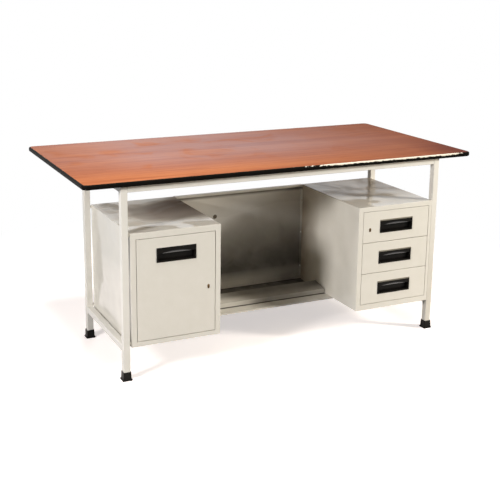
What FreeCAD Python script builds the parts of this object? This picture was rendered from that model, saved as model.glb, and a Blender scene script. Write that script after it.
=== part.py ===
"""Steel office desk: laminate top on a square-tube frame, a cupboard, three drawers and a footrest.

Millimetres, +Z up, +X to the sitter's right, +Y away from the sitter.
The origin is on the floor, under the middle of the tabletop.
"""
import FreeCAD, Part
import os

V = FreeCAD.Vector
X_AXIS, Y_AXIS, Z_AXIS = V(1, 0, 0), V(0, 1, 0), V(0, 0, 1)

# Tabletop
desk_width = 1640.0
desk_depth = 800.0
desk_height = 750.0
board_thickness = 17.0
laminate_thickness = 1.0
top_corner_radius = 22.0
edging_bulb = 6.0
edging_round = 6.0
tongue_depth = 9.0
tongue_thickness = 2.5
edging_round_ratio = 0.45

# Tube frame
tube_size = 25.0
tube_wall = 1.6
tube_corner = 2.0
side_overhang = 142.0
front_overhang = 23.0
base_depth = 486.0
lower_rail_height = 111.0
shoe_height = 33.0
shoe_floor = 5.0
shoe_wall = 2.5
shoe_taper = 1.2
shoe_flange_reach = 6.5
shoe_flange_height = 6.0
shoe_flange_round = 2.0

# Pedestals
sheet = 1.2
bend_radius = 1.0
bend_ratio = 0.9
frame_edge_round = 0.8
pedestal_bottom = 126.0
pedestal_height = 430.0
pedestal_rear_setback = 14.0
frame_return = 18.0
base_flange = 12.0
cupboard_width = 352.0
cupboard_leg_gap = 7.0
cupboard_stile = 20.0
cupboard_top_rail = 23.0
cupboard_bottom_rail = 17.0
drawer_unit_width = 347.0
drawer_left_stile = 20.0
drawer_right_stile = 12.0
drawer_top_rail = 19.0
drawer_bottom_rail = 22.0
spacer_height = 9.0
spacer_depth = 11.0
spacer_top_drop = 3.0
spacer_bottom_rise = 10.0

# Shelf
shelf_height = 205.0
shelf_flange = 15.0
shelf_front_setback = 32.0
shelf_rear_gap = 10.0
shelf_side_gap = 1.5
support_leg = 16.0

# Door and drawer fronts
front_depth = 18.0
front_lip = 15.0
door_gap = 2.5
hinge_inset = 8.0
hinge_setback = 5.0
pin_diameter = 5.0
pin_clearance = 0.05
pin_reach = 4.0
collar_diameter = 7.0
collar_height = 6.0

# Handle cups
cup_width = 155.0
cup_height = 55.0
cup_border = 4.0
cup_proud = 2.0
cup_bevel = 1.2
cup_pocket_depth = 15.0
cup_wall = 1.5
cup_fit = 0.3
hood_drop = 16.0
hood_thickness = 2.4
hood_setback = 1.2
hood_lip_ratio = 0.48
door_cup_drop = 66.0

# Locks
lock_case_length = 46.0
lock_case_height = 30.0
lock_case_depth = 12.0
lock_case_wall = 1.6
lock_case_ahead = 18.0
bolt_width = 5.0
bolt_height = 10.0
bolt_tail = 8.0
bolt_travel = 9.0
bolt_clearance = 0.15
bolt_slot_clearance = 0.4
bolt_end_setback = 0.3
keyhole_plate_width = 8.0
keyhole_plate_height = 16.0
keyhole_plate_thickness = 0.8
keyhole_collar = 2.0
keyhole_diameter = 3.6
keyhole_slot_width = 1.8
keyhole_slot_length = 6.0
door_key_inset = 26.5
door_key_drop = 16.0
drawer_key_inset = 31.0
drawer_key_drop = 10.0

# Drawers
drawer_names = ("bottom_drawer", "middle_drawer", "top_drawer")
drawer_gap = 2.5
drawer_edge_gap = 2.0
tray_rear_room = 32.8
tray_height = 95.0
tray_bottom_rise = 8.0
slide_width = 8.0
slide_height = 8.0
slide_rise = 30.0
slide_side_gap = 0.5
runner_thickness = 1.5
runner_clearance = 0.4
runner_tray_gap = 1.5
runner_front_gap = 2.0
runner_overrun = 5.0

# Kneehole
modesty_rear_reach = 6.0
modesty_side_flange = 16.0
modesty_top_flange = 15.0
modesty_top_lip = 10.0
modesty_bottom_flange = 8.0
modesty_bottom_rise = 4.0
modesty_screw_count = 3
modesty_screw_margin = 60.0
modesty_screw_inset = 5.0
plug_x = -106.0
plug_height = 449.0
plug_diameter = 14.0
plug_head_diameter = 18.0
plug_head_height = 2.5
base_tray_setback = 188.0
base_tray_rear_gap = 20.0
base_tray_lap = 25.0
base_tray_hem = 6.0
base_tray_rear_lip = 12.0
tray_screw_margin = 67.5
footrest_setback = 245.0
footrest_depth = 76.0
footrest_front_height = 21.0
footrest_rear_height = 36.0
footrest_end_gap = 4.0
footrest_foot = 12.0

# Screws
screw_diameter = 4.0
screw_head_diameter = 8.0
screw_head_height = 2.5
screw_crown_ratio = 0.6
screw_hole_clearance = 0.2
screw_grip = 6.0
board_screw_grip = 12.0
long_rail_screws = 3

# Derived places
top_underside = desk_height - board_thickness - laminate_thickness
frame_x = desk_width / 2 - side_overhang
front_y = -desk_depth / 2 + front_overhang
rear_y = front_y + base_depth
pedestal_top = pedestal_bottom + pedestal_height
pedestal_depth = base_depth - pedestal_rear_setback
pedestal_rear = front_y + pedestal_depth
tray_length = pedestal_depth - sheet - front_depth - tray_rear_room
modesty_setback = pedestal_depth + modesty_rear_reach
base_tray_depth = modesty_setback - base_tray_rear_gap - base_tray_setback
cupboard_x0 = -frame_x + tube_size + cupboard_leg_gap
cupboard_x1 = cupboard_x0 + cupboard_width
drawer_x1 = frame_x - tube_size
drawer_x0 = drawer_x1 - drawer_unit_width
rail_bottom = top_underside - tube_size
sheet_bend = min(bend_radius, bend_ratio * sheet)


def block(x0, x1, y0, y1, z0, z1):
    """Returns a box between two values on each axis."""
    return Part.makeBox(x1 - x0, y1 - y0, z1 - z0, V(x0, y0, z0))


def rod(start, axis, diameter, length):
    """Returns a cylinder from a point along an axis."""
    return Part.makeCylinder(diameter / 2, length, start, axis)


def joined(*solids):
    """Returns touching solids as one, without inner seams."""
    return solids[0].fuse(list(solids[1:])).removeSplitter()


def edges_along(shape, axis):
    """Returns the straight edges that run along an axis."""
    return [e for e in shape.Edges
            if len(e.Vertexes) == 2 and abs(e.tangentAt(e.FirstParameter).dot(axis)) > 0.999]


def edges_at(shape, axis, value):
    """Returns the edges that lie wholly in the plane where axis has a value."""
    return [e for e in shape.Edges if all(abs(v.Point.dot(axis) - value) < 1e-4 for v in e.Vertexes)]


def save(name, *solids):
    """Writes one node: a solid, or separate solids that share the node."""
    for solid in solids:
        assert solid.isValid() and len(solid.Solids) == 1, name
    shape = solids[0].Solids[0] if len(solids) == 1 else Part.makeCompound([s.Solids[0] for s in solids])
    shape.exportStep("parts/" + name + ".step")


def slab(inset, z0, z1):
    """Returns the tabletop's outline, drawn in by an inset, as a plate."""
    x, y = desk_width / 2 - inset, desk_depth / 2 - inset
    plate = block(-x, x, -y, y, z0, z1)
    return plate.makeFillet(top_corner_radius - inset, edges_along(plate, Z_AXIS))


def tongue_ring():
    """Returns the ring that the edging's tongue fills in the board's edge."""
    middle = (top_underside + desk_height) / 2
    z0, z1 = middle - tongue_thickness / 2, middle + tongue_thickness / 2
    return slab(edging_bulb, z0, z1).cut(slab(edging_bulb + tongue_depth, z0, z1))


def pan_screw(seat, axis, grip):
    """Returns a pan-head screw whose head sits on a seat, with its shank along an axis."""
    crown = screw_head_diameter * screw_crown_ratio / 2
    head_top = seat - axis * screw_head_height
    head = Part.makeCone(crown, screw_head_diameter / 2, screw_head_height, head_top, axis)
    return joined(head, rod(seat, axis, screw_diameter, grip))


def screw_hole(seat, axis, depth):
    """Returns the clearance hole for a screw, from its seat along an axis."""
    return rod(seat, axis, screw_diameter + screw_hole_clearance, depth)


def square_tube(x0, y0, z0, axis, length):
    """Returns a hollow square tube with rounded edges, from its low corner along an axis."""
    size = [length if axis[i] else tube_size for i in range(3)]
    outer = Part.makeBox(*size, V(x0, y0, z0))
    outer = outer.makeFillet(tube_corner, edges_along(outer, axis))
    wall = [0 if axis[i] else tube_wall for i in range(3)]
    bore = Part.makeBox(*[s - 2 * w for s, w in zip(size, wall)], V(x0, y0, z0) + V(*wall))
    return outer.cut(bore)


def rail_screw_seats():
    """Returns where each tabletop screw's head sits under the top rails."""
    run = 2 * frame_x / long_rail_screws
    xs = [-frame_x + run * (i + 0.5) for i in range(long_rail_screws)]
    front, rear = front_y + tube_size / 2, rear_y - tube_size / 2
    side = frame_x - tube_size / 2
    middle = (front_y + rear_y) / 2
    return ([V(x, y, rail_bottom) for y in (front, rear) for x in xs]
            + [V(x, middle, rail_bottom) for x in (-side, side)])


def make_tabletop():
    """Makes the board, its laminate, the black edging and the screws that hold the top down."""
    laminate_z = desk_height - laminate_thickness
    shank = tube_size + board_screw_grip
    screws = [pan_screw(seat, Z_AXIS, shank) for seat in rail_screw_seats()]
    pilots = [rod(seat, Z_AXIS, screw_diameter, shank) for seat in rail_screw_seats()]
    board = slab(edging_bulb, top_underside, laminate_z).cut([tongue_ring()] + pilots)
    laminate = slab(edging_bulb, laminate_z, desk_height)
    outer = slab(0, top_underside, desk_height)
    rims = edges_at(outer, Z_AXIS, top_underside) + edges_at(outer, Z_AXIS, desk_height)
    bulb = outer.makeFillet(min(edging_round, edging_round_ratio * (desk_height - top_underside)), rims)
    edging = bulb.cut(slab(edging_bulb, top_underside, desk_height))
    save("tabletop_board", board)
    save("tabletop_laminate", laminate)
    save("tabletop_edging", joined(edging, tongue_ring()))
    save("tabletop_screws", *screws)


def leg_corners():
    """Returns each leg's name and the low corner of its tube."""
    left, right = -frame_x, frame_x - tube_size
    front, rear = front_y, rear_y - tube_size
    return {"front_left": (left, front), "front_right": (right, front),
            "rear_left": (left, rear), "rear_right": (right, rear)}


def square_wire(x, y, z, half, corner):
    """Returns a rounded square outline about a middle point."""
    plate = block(x - half, x + half, y - half, y + half, z, z + 1)
    plate = plate.makeFillet(corner, edges_along(plate, Z_AXIS))
    face = [f for f in plate.Faces if abs(f.CenterOfMass.z - z) < 1e-6][0]
    return face.OuterWire


def make_shoe(x, y):
    """Returns a leg's plastic shoe: a tapered socket on a wider foot, with its low corner under the leg."""
    cx, cy = x + tube_size / 2, y + tube_size / 2
    top_half = tube_size / 2 + shoe_wall
    foot_half = tube_size / 2 + shoe_flange_reach
    foot = block(cx - foot_half, cx + foot_half, cy - foot_half, cy + foot_half, 0, shoe_flange_height)
    foot = foot.makeFillet(shoe_flange_round + shoe_wall, edges_along(foot, Z_AXIS))
    foot = foot.makeFillet(shoe_flange_round, edges_at(foot, Z_AXIS, shoe_flange_height))
    low = square_wire(cx, cy, 0, top_half + shoe_taper, shoe_wall)
    high = square_wire(cx, cy, shoe_height, top_half, shoe_wall)
    body = Part.makeLoft([low, high], True, True)
    socket = block(x, x + tube_size, y, y + tube_size, shoe_floor, shoe_height)
    return joined(foot, body).cut(socket)


def make_frame():
    """Makes the four legs with their shoes, the four top rails and the two lower side rails."""
    for name, (x, y) in leg_corners().items():
        save("leg_" + name, square_tube(x, y, shoe_floor, Z_AXIS, top_underside - shoe_floor))
        save("shoe_" + name, make_shoe(x, y))
    inner_x, inner_y = frame_x - tube_size, front_y + tube_size
    long_run, side_run = 2 * inner_x, base_depth - 2 * tube_size
    holes = [screw_hole(seat, Z_AXIS, tube_size) for seat in rail_screw_seats()]
    rails = {
        "front_rail": square_tube(-inner_x, front_y, rail_bottom, X_AXIS, long_run),
        "rear_rail": square_tube(-inner_x, rear_y - tube_size, rail_bottom, X_AXIS, long_run),
        "left_rail": square_tube(-frame_x, inner_y, rail_bottom, Y_AXIS, side_run),
        "right_rail": square_tube(inner_x, inner_y, rail_bottom, Y_AXIS, side_run)}
    for name, rail in rails.items():
        save(name, rail.cut(holes))
    save("left_lower_rail", square_tube(-frame_x, inner_y, lower_rail_height, Y_AXIS, side_run))
    save("right_lower_rail", square_tube(inner_x, inner_y, lower_rail_height, Y_AXIS, side_run))


def pedestal_wrap(x0, x1):
    """Returns a pedestal's sides and top, folded from one sheet."""
    outer = block(x0, x1, front_y + sheet, pedestal_rear, pedestal_bottom, pedestal_top)
    ridges = [e for e in edges_along(outer, Y_AXIS) if e.CenterOfMass.z > pedestal_bottom + sheet]
    outer = outer.makeFillet(sheet_bend, ridges)
    hollow = block(x0 + sheet, x1 - sheet, front_y, pedestal_rear, pedestal_bottom, pedestal_top - sheet)
    return outer.cut(hollow)


def pedestal_base(x0, x1):
    """Returns a pedestal's floor, with a flange turned up along each side."""
    front, rear = front_y + sheet, pedestal_rear - sheet
    low, high = pedestal_bottom, pedestal_bottom + base_flange
    outer = block(x0 + sheet, x1 - sheet, front, rear, low, high)
    hollow = block(x0 + 2 * sheet, x1 - 2 * sheet, front, rear, low + sheet, high)
    return outer.cut([hollow, frame_room(x0, x1)])


def frame_room(x0, x1):
    """Returns the space just inside a pedestal's front that its front frame takes up."""
    return block(x0, x1, front_y, front_y + frame_return, pedestal_bottom + sheet, pedestal_top)


def pedestal_back(x0, x1):
    """Returns a pedestal's back sheet."""
    return block(x0 + sheet, x1 - sheet, pedestal_rear - sheet, pedestal_rear,
                 pedestal_bottom, pedestal_top - sheet)


def front_frame(x0, x1, opening):
    """Returns a pedestal's front frame: a flat face with a return turned in round its opening."""
    ox0, ox1, oz0, oz1 = opening
    face = block(x0, x1, front_y, front_y + sheet, pedestal_bottom, pedestal_top)
    face = face.makeFillet(min(frame_edge_round, sheet_bend), edges_at(face, Y_AXIS, front_y))
    collar = block(ox0 - sheet, ox1 + sheet, front_y, front_y + frame_return, oz0 - sheet, oz1 + sheet)
    return joined(face, collar).cut(block(ox0, ox1, front_y, front_y + frame_return, oz0, oz1))


def folded_front(x0, x1, z0, z1):
    """Returns a front folded from sheet: a face, four returns and a lip behind them."""
    back = front_y + front_depth
    outer = block(x0, x1, front_y, back, z0, z1)
    outer = outer.makeFillet(sheet_bend, edges_at(outer, Y_AXIS, front_y) + edges_along(outer, Y_AXIS))
    hollow = block(x0 + sheet, x1 - sheet, front_y + sheet, back - sheet, z0 + sheet, z1 - sheet)
    window = block(x0 + front_lip, x1 - front_lip, back - sheet, back, z0 + front_lip, z1 - front_lip)
    return outer.cut([hollow, window])


def cup_pocket_size():
    """Returns the half width and half height of a handle cup's pocket, outside."""
    return cup_width / 2 - cup_border, cup_height / 2 - cup_border


def cup_hole(cx, cz):
    """Returns the hole that a handle cup's pocket drops into."""
    w, h = (v + cup_fit for v in cup_pocket_size())
    return block(cx - w, cx + w, front_y, front_y + sheet, cz - h, cz + h)


def handle_cup(cx, cz):
    """Returns a recessed handle: a bevelled flange, a pocket and a hood with a rounded lip over its top."""
    w, h = cup_pocket_size()
    face = front_y - cup_proud
    flange = block(cx - cup_width / 2, cx + cup_width / 2, face, front_y,
                   cz - cup_height / 2, cz + cup_height / 2)
    flange = flange.makeChamfer(cup_bevel, edges_at(flange, Y_AXIS, face))
    pocket = block(cx - w, cx + w, front_y, front_y + cup_pocket_depth, cz - h, cz + h)
    wi, hi = w - cup_wall, h - cup_wall
    recess = block(cx - wi, cx + wi, face, front_y + cup_pocket_depth - cup_wall, cz - hi, cz + hi)
    y0, lip_z = face + hood_setback, cz + hi - hood_drop
    hood = block(cx - wi, cx + wi, y0, y0 + hood_thickness, lip_z, cz + hi)
    lips = [e for e in edges_along(hood, X_AXIS) if abs(e.CenterOfMass.z - lip_z) < 1e-6]
    hood = hood.makeFillet(hood_lip_ratio * hood_thickness, lips)
    return joined(joined(flange, pocket).cut(recess), hood)


def keyhole(x, z, depth):
    """Returns a keyhole, a round eye with a slot below, cut from the face of a front to a depth."""
    start = V(x, front_y - keyhole_plate_thickness, z)
    eye = rod(start, Y_AXIS, keyhole_diameter, depth)
    half = keyhole_slot_width / 2
    slot = block(x - half, x + half, start.y, start.y + depth, z - keyhole_slot_length, z)
    return joined(eye, slot)


def key_way(x, z):
    """Returns the way for the key from the plate's face through the lock's case."""
    return keyhole(x, z, keyhole_plate_thickness + sheet + lock_case_depth)


def keyhole_plate(x, z):
    """Returns the brass plate round a keyhole, with a collar that passes through the sheet."""
    def oval(width, height, y, depth):
        half, run = width / 2, (height - width) / 2
        bar = block(x - half, x + half, y, y + depth, z - run, z + run)
        ends = [rod(V(x, y, z + k * run), Y_AXIS, width, depth) for k in (-1, 1)]
        return joined(bar, *ends)
    face = front_y - keyhole_plate_thickness
    plate = oval(keyhole_plate_width, keyhole_plate_height, face, keyhole_plate_thickness)
    collar = oval(keyhole_plate_width - keyhole_collar, keyhole_plate_height - keyhole_collar, front_y, sheet)
    depth = keyhole_plate_thickness + sheet
    return joined(plate, collar).cut(keyhole(x, z, depth)), collar


def lock_parts(x, z, upright, reach):
    """Returns a lock's case, its bolt and the slot that the bolt needs, from the keyhole's place.

    The bolt points along +X, or along +Z where the lock is upright, and its end lies reach from the keyhole.
    """
    y0 = front_y + sheet
    bolt_y = y0 + lock_case_depth - bolt_width / 2 - lock_case_wall
    tail = lock_case_ahead - lock_case_length + bolt_tail

    def bar(start, end, extra):
        w, h = bolt_width / 2 + extra, bolt_height / 2 + extra
        return block(start, end, bolt_y - w, bolt_y + w, -h, h)
    case = block(lock_case_ahead - lock_case_length, lock_case_ahead, y0, y0 + lock_case_depth,
                 -lock_case_height / 2, lock_case_height / 2)
    case = case.cut(bar(tail - bolt_clearance, lock_case_ahead, bolt_clearance))
    bolt = bar(tail, reach - bolt_end_setback, 0)
    slot = bar(lock_case_ahead, reach + bolt_travel + bolt_slot_clearance, bolt_slot_clearance)
    for piece in (case, bolt, slot):
        if upright:
            piece.rotate(V(0, 0, 0), Y_AXIS, -90)
        piece.translate(V(x, 0, z))
    return case, bolt, slot


def cupboard_opening():
    """Returns the low and high X and Z of the cupboard's opening."""
    return (cupboard_x0 + cupboard_stile, cupboard_x1 - cupboard_stile,
            pedestal_bottom + cupboard_bottom_rail, pedestal_top - cupboard_top_rail)


def hinge_pin(z, up):
    """Returns one door pin: a collar inside the door and a shank out through the frame."""
    x, y = cupboard_opening()[0] + door_gap + hinge_inset, front_y + hinge_setback
    way = Z_AXIS if up else -Z_AXIS
    inner = V(x, y, z) - way * sheet
    shank = rod(inner, way, pin_diameter, 2 * sheet + door_gap + pin_reach)
    return joined(rod(inner - way * collar_height, way, collar_diameter, collar_height), shank)


def pin_hole(z, up, clearance):
    """Returns the hole for a door pin through the sheet that starts at a height."""
    x, y = cupboard_opening()[0] + door_gap + hinge_inset, front_y + hinge_setback
    return rod(V(x, y, z), Z_AXIS if up else -Z_AXIS, pin_diameter + 2 * clearance, sheet)


def make_door():
    """Makes the cupboard's door with its handle, pins and lock, and returns the slot its bolt needs."""
    ox0, ox1, oz0, oz1 = cupboard_opening()
    x0, x1, z0, z1 = ox0 + door_gap, ox1 - door_gap, oz0 + door_gap, oz1 - door_gap
    cup_x, cup_z = (x0 + x1) / 2, z1 - door_cup_drop
    key_x, key_z = x1 - door_key_inset, (z0 + z1) / 2 - door_key_drop
    plate, collar = keyhole_plate(key_x, key_z)
    case, bolt, slot = lock_parts(key_x, key_z, False, door_key_inset)
    pin_holes = [pin_hole(z1 - sheet, True, 0), pin_hole(z0 + sheet, False, 0)]
    panel = folded_front(x0, x1, z0, z1).cut([cup_hole(cup_x, cup_z), collar, slot] + pin_holes)
    save("door_panel", panel)
    save("door_handle_cup", handle_cup(cup_x, cup_z))
    save("door_hinge_pins", hinge_pin(z1, True), hinge_pin(z0, False))
    save("door_keyhole_plate", plate)
    save("door_lock_case", case.cut(key_way(key_x, key_z)))
    save("door_lock_bolt", bolt)
    return slot


def make_cupboard():
    """Makes the left pedestal: its sheet body, front frame, shelf, spacers and door."""
    x0, x1 = cupboard_x0, cupboard_x1
    opening = cupboard_opening()
    slot = make_door()
    holes = [pin_hole(opening[3], True, pin_clearance), pin_hole(opening[2], False, pin_clearance)]
    save("cupboard_front_frame", front_frame(x0, x1, opening).cut([slot] + holes))
    save("cupboard_wrap", pedestal_wrap(x0, x1).cut(modesty_screw_holes()))
    save("cupboard_base", pedestal_base(x0, x1).cut(tray_screw_holes()))
    save("cupboard_back", pedestal_back(x0, x1))
    make_shelf(x0, x1)
    make_spacers(x0)


def make_shelf(x0, x1):
    """Makes the cupboard's shelf, with its edges turned down, and the two angles that carry it."""
    z = pedestal_bottom + shelf_height
    y0, y1 = front_y + shelf_front_setback, pedestal_rear - sheet - shelf_rear_gap
    sx0, sx1 = x0 + sheet + shelf_side_gap, x1 - sheet - shelf_side_gap
    tray = block(sx0, sx1, y0, y1, z - shelf_flange, z + sheet)
    under = block(sx0, sx1, y0 + sheet, y1 - sheet, z - shelf_flange, z)
    supports = []
    for wall, inner in ((x0 + sheet, 1), (x1 - sheet, -1)):
        xs = sorted((wall, wall + inner * support_leg))
        web = sorted((wall + inner * sheet, wall + inner * support_leg))
        angle = block(*xs, y0 + 2 * sheet, y1 - 2 * sheet, z - support_leg, z)
        supports.append(angle.cut(block(*web, y0, y1, z - support_leg, z - sheet)))
    save("cupboard_shelf", tray.cut(under))
    save("shelf_supports", *supports)


def make_spacers(x0):
    """Makes the four tabs that hold the cupboard off the left legs."""
    top = pedestal_top - spacer_top_drop - spacer_height
    low = pedestal_bottom + spacer_bottom_rise
    front = front_y + (tube_size - spacer_depth) / 2
    rear = pedestal_rear - spacer_depth
    save("cupboard_spacers", *[block(x0 - cupboard_leg_gap, x0, y, y + spacer_depth, z, z + spacer_height)
                               for y in (front, rear) for z in (low, top)])


def drawer_opening():
    """Returns the low and high X and Z of the drawer pedestal's opening."""
    return (drawer_x0 + drawer_left_stile, drawer_x1 - drawer_right_stile,
            pedestal_bottom + drawer_bottom_rail, pedestal_top - drawer_top_rail)


def drawer_heights():
    """Returns the low and high Z of each drawer front, from the bottom up."""
    z0, z1 = drawer_opening()[2] + drawer_edge_gap, drawer_opening()[3] - drawer_edge_gap
    count = len(drawer_names)
    height = (z1 - z0 - (count - 1) * drawer_gap) / count
    return [(z0 + i * (height + drawer_gap), z0 + i * (height + drawer_gap) + height) for i in range(count)]


def tray_sides():
    """Returns the low and high X of the drawers' trays, between their slides."""
    inset = drawer_edge_gap + slide_side_gap + slide_width
    return drawer_opening()[0] + inset, drawer_opening()[1] - inset


def make_drawer(name, z0, z1, lock_cuts):
    """Makes one drawer: its folded front, handle, tray and the two bars that slide in the runners."""
    x0, x1 = drawer_opening()[0] + drawer_edge_gap, drawer_opening()[1] - drawer_edge_gap
    cup_x, cup_z = (x0 + x1) / 2, (z0 + z1) / 2
    save(name + "_front", folded_front(x0, x1, z0, z1).cut([cup_hole(cup_x, cup_z)] + lock_cuts))
    save(name + "_handle_cup", handle_cup(cup_x, cup_z))
    tx0, tx1 = tray_sides()
    y0, floor = front_y + front_depth, z0 + tray_bottom_rise
    tray = block(tx0, tx1, y0, y0 + tray_length, floor, floor + tray_height)
    hollow = block(tx0 + sheet, tx1 - sheet, y0 + sheet, y0 + tray_length - sheet,
                   floor + sheet, floor + tray_height)
    save(name + "_tray", tray.cut(hollow))
    bar_z = floor + slide_rise
    save(name + "_slides", *[block(x, x + slide_width, y0, y0 + tray_length, bar_z, bar_z + slide_height)
                             for x in (tx0 - slide_width, tx1)])


def runner(wall, edge, bar_z):
    """Returns one fixed channel from a pedestal's wall to beside a tray, open towards the drawer's bar."""
    y0 = front_y + frame_return + runner_front_gap
    y1 = front_y + front_depth + tray_length + runner_overrun
    z0, z1 = bar_z - runner_clearance, bar_z + slide_height + runner_clearance
    web = runner_thickness if edge > wall else -runner_thickness
    outer = block(*sorted((wall, edge)), y0, y1, z0 - runner_thickness, z1 + runner_thickness)
    return outer.cut(block(*sorted((wall + web, edge)), y0, y1, z0, z1))


def make_drawers():
    """Makes the right pedestal: its sheet body, front frame, runners, drawers and the top drawer's lock."""
    x0, x1 = drawer_x0, drawer_x1
    heights = drawer_heights()
    top_z0, top_z1 = heights[-1]
    key_x = drawer_opening()[0] + drawer_edge_gap + drawer_key_inset
    key_z = (top_z0 + top_z1) / 2 - drawer_key_drop
    plate, collar = keyhole_plate(key_x, key_z)
    case, bolt, slot = lock_parts(key_x, key_z, True, top_z1 - key_z)
    for name, (z0, z1) in zip(drawer_names, heights):
        make_drawer(name, z0, z1, [collar, slot] if name == drawer_names[-1] else [])
    save("drawer_keyhole_plate", plate)
    save("drawer_lock_case", case.cut(key_way(key_x, key_z)))
    save("drawer_lock_bolt", bolt)
    save("drawer_unit_front_frame", front_frame(x0, x1, drawer_opening()).cut(slot))
    save("drawer_unit_wrap", pedestal_wrap(x0, x1).cut(modesty_screw_holes()))
    save("drawer_unit_base", pedestal_base(x0, x1).cut(tray_screw_holes()))
    save("drawer_unit_back", pedestal_back(x0, x1))
    bars = [z0 + tray_bottom_rise + slide_rise for z0, z1 in heights]
    left, right = tray_sides()
    save("drawer_runners_left", *[runner(x0 + sheet, left - runner_tray_gap, z) for z in bars])
    save("drawer_runners_right", *[runner(x1 - sheet, right + runner_tray_gap, z) for z in bars])


def modesty_screw_seats():
    """Returns each modesty screw's seat on the panel's side flange, and the way its shank points."""
    y = front_y + modesty_setback - modesty_side_flange + modesty_screw_inset
    low, high = pedestal_bottom + modesty_screw_margin, pedestal_top - modesty_screw_margin
    step = (high - low) / (modesty_screw_count - 1)
    heights = [low + i * step for i in range(modesty_screw_count)]
    return ([(V(cupboard_x1 + sheet, y, z), -X_AXIS) for z in heights]
            + [(V(drawer_x0 - sheet, y, z), X_AXIS) for z in heights])


def modesty_screw_holes():
    """Returns the holes for the modesty screws through the flange and the pedestal's wall."""
    return [screw_hole(seat, axis, 2 * sheet) for seat, axis in modesty_screw_seats()]


def make_modesty_panel():
    """Makes the panel across the back of the kneehole, with folded edges, its screws and a plug."""
    x0, x1 = cupboard_x1, drawer_x0
    y = front_y + modesty_setback
    z0, z1 = pedestal_bottom + modesty_bottom_rise, pedestal_top
    panel = block(x0, x1, y, y + sheet, z0, z1)
    sides = [block(a, a + sheet, y - modesty_side_flange, y, z0, z1) for a in (x0, x1 - sheet)]
    lip_y = y - modesty_top_flange
    top = block(x0, x1, lip_y, y, z1 - sheet, z1)
    lip = block(x0, x1, lip_y, lip_y + sheet, z1 - modesty_top_lip, z1)
    foot = block(x0, x1, y - modesty_bottom_flange, y, z0, z0 + sheet)
    plug_at = V(plug_x, y, plug_height)
    plug_hole = rod(plug_at, Y_AXIS, plug_diameter, sheet)
    body = joined(panel, top, lip, foot, *sides)
    save("modesty_panel", body.cut(modesty_screw_holes() + [plug_hole]))
    shank = 2 * sheet + screw_grip
    save("modesty_screws", *[pan_screw(seat, axis, shank) for seat, axis in modesty_screw_seats()])
    head = Part.makeCone(plug_diameter / 2, plug_head_diameter / 2, plug_head_height,
                         plug_at - Y_AXIS * plug_head_height, Y_AXIS)
    save("modesty_plug", joined(head, rod(plug_at, Y_AXIS, plug_diameter, sheet + plug_head_height)))


def tray_screw_seats():
    """Returns where the base tray's screw heads sit, under each pedestal's inner edge."""
    xs = (cupboard_x1 - base_tray_lap / 2, drawer_x0 + base_tray_lap / 2)
    near = front_y + base_tray_setback
    ys = (near + tray_screw_margin, near + base_tray_depth - tray_screw_margin)
    return [V(x, y, pedestal_bottom - sheet) for x in xs for y in ys]


def tray_screw_holes():
    """Returns the holes for the base tray's screws through the tray and the pedestal's floor."""
    return [screw_hole(seat, Z_AXIS, 2 * sheet) for seat in tray_screw_seats()]


def make_base_tray():
    """Makes the tray across the kneehole's floor, lapped under both pedestals, and its screws."""
    x0, x1 = cupboard_x1, drawer_x0
    y0 = front_y + base_tray_setback
    y1, top = y0 + base_tray_depth, pedestal_bottom
    plate = block(x0 - base_tray_lap, x1 + base_tray_lap, y0, y1, top - sheet, top)
    hem = block(x0 - base_tray_lap, x1 + base_tray_lap, y0, y0 + sheet, top - base_tray_hem, top)
    rear_lip = block(x0, x1, y1 - sheet, y1, top - sheet, top + base_tray_rear_lip)
    save("base_tray", joined(plate, hem, rear_lip).cut(tray_screw_holes()))
    save("tray_screws", *[pan_screw(seat, Z_AXIS, 2 * sheet + screw_grip) for seat in tray_screw_seats()])


def make_footrest():
    """Makes the sloping footrest, folded from one sheet and standing on the base tray."""
    x0, x1 = cupboard_x1 + footrest_end_gap, drawer_x0 - footrest_end_gap
    y0, y1 = front_y + footrest_setback, front_y + footrest_setback + footrest_depth
    low = pedestal_bottom
    front, rear = low + footrest_front_height, low + footrest_rear_height
    front_foot, rear_foot = y0 + footrest_foot, y1 - footrest_foot
    inside = low + sheet
    outline = [(y0, low), (front_foot, low), (front_foot, inside), (y0 + sheet, inside),
               (y0 + sheet, front - sheet), (y1 - sheet, rear - sheet), (y1 - sheet, inside),
               (rear_foot, inside), (rear_foot, low), (y1, low), (y1, rear), (y0, front)]
    wire = Part.makePolygon([V(x0, y, z) for y, z in outline + outline[:1]])
    save("footrest", Part.Face(wire).extrude(V(x1 - x0, 0, 0)))


os.makedirs("parts", exist_ok=True)
make_tabletop()
make_frame()
make_cupboard()
make_drawers()
make_modesty_panel()
make_base_tray()
make_footrest()
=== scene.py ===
"""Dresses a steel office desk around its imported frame: finishes, small fittings, light and camera.

Metres, +X to the sitter's right, +Y away from the sitter, +Z up, with the floor at zero.
"""
import logging
import math
from abc import ABC, abstractmethod
from dataclasses import dataclass
from enum import Enum
from typing import Any, Iterable, Iterator

import bmesh
import bpy
from mathutils import Matrix, Vector


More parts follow.
